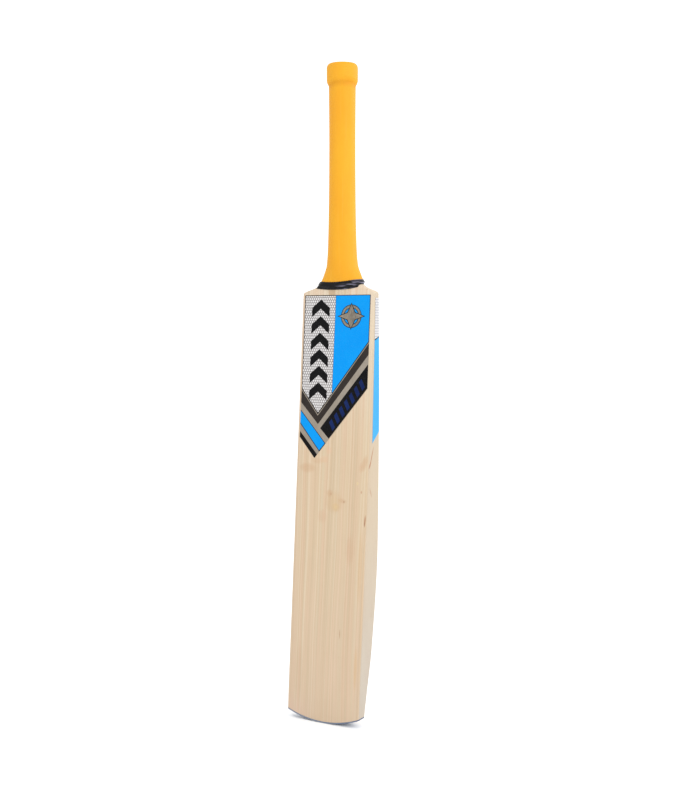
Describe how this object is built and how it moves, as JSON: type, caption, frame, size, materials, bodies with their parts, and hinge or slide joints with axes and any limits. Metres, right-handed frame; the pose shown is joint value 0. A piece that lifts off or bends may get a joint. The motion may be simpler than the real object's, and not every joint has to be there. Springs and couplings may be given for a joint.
{
  "type": "cricket bat",
  "caption": "Cricket bat with a leaning willow blade, a V-spliced cane handle, a smooth orange rubber grip, black base tape and a geometric blue, silver and black label.",
  "frame": {"origin": "on the handle's axis in the middle of the grip, where hands hold the bat, 710 mm above the toe guard's lowest point", "axes": "+Z along the handle's axis from toe to handle end, the blade's flat face towards -Y and its ridged back towards +Y, +X to the right of someone looking at the face"},
  "size_m": [0.109, 0.0805, 0.852],
  "materials": {
    "willow": "pale oiled willow with fine straight grain, satin",
    "cane": "smooth turned cane with dark pores in its end grain",
    "spring_rubber": "matt dark rubber strip",
    "twine": "close-wound waxed twine",
    "grip_rubber": "smooth orange-yellow rubber, soft satin",
    "base_tape": "glossy black binding tape",
    "toe_guard": "matt blue-grey rubber strip",
    "label_film": "glossy printed film in blue, silver, dark bronze and black"
  },
  "bodies": {
    "root": {"blade": "willow", "toe_guard": "toe_guard", "cane_front_left": "cane", "cane_front_centre": "cane", "cane_front_right": "cane", "cane_inner_front_left": "cane", "cane_inner_front_centre": "cane", "cane_inner_front_right": "cane", "cane_inner_back_left": "cane", "cane_inner_back_centre": "cane", "cane_inner_back_right": "cane", "cane_back_left": "cane", "cane_back_centre": "cane", "cane_back_right": "cane", "spring_strip_front": "spring_rubber", "spring_strip_middle": "spring_rubber", "spring_strip_back": "spring_rubber", "twine_binding": "twine", "rubber_grip": "grip_rubber", "base_tape": "base_tape", "face_label": "label_film", "edge_label_left": "label_film", "edge_label_right": "label_film", "back_label_left": "label_film", "back_label_right": "label_film"}
  },
  "joints": []
}
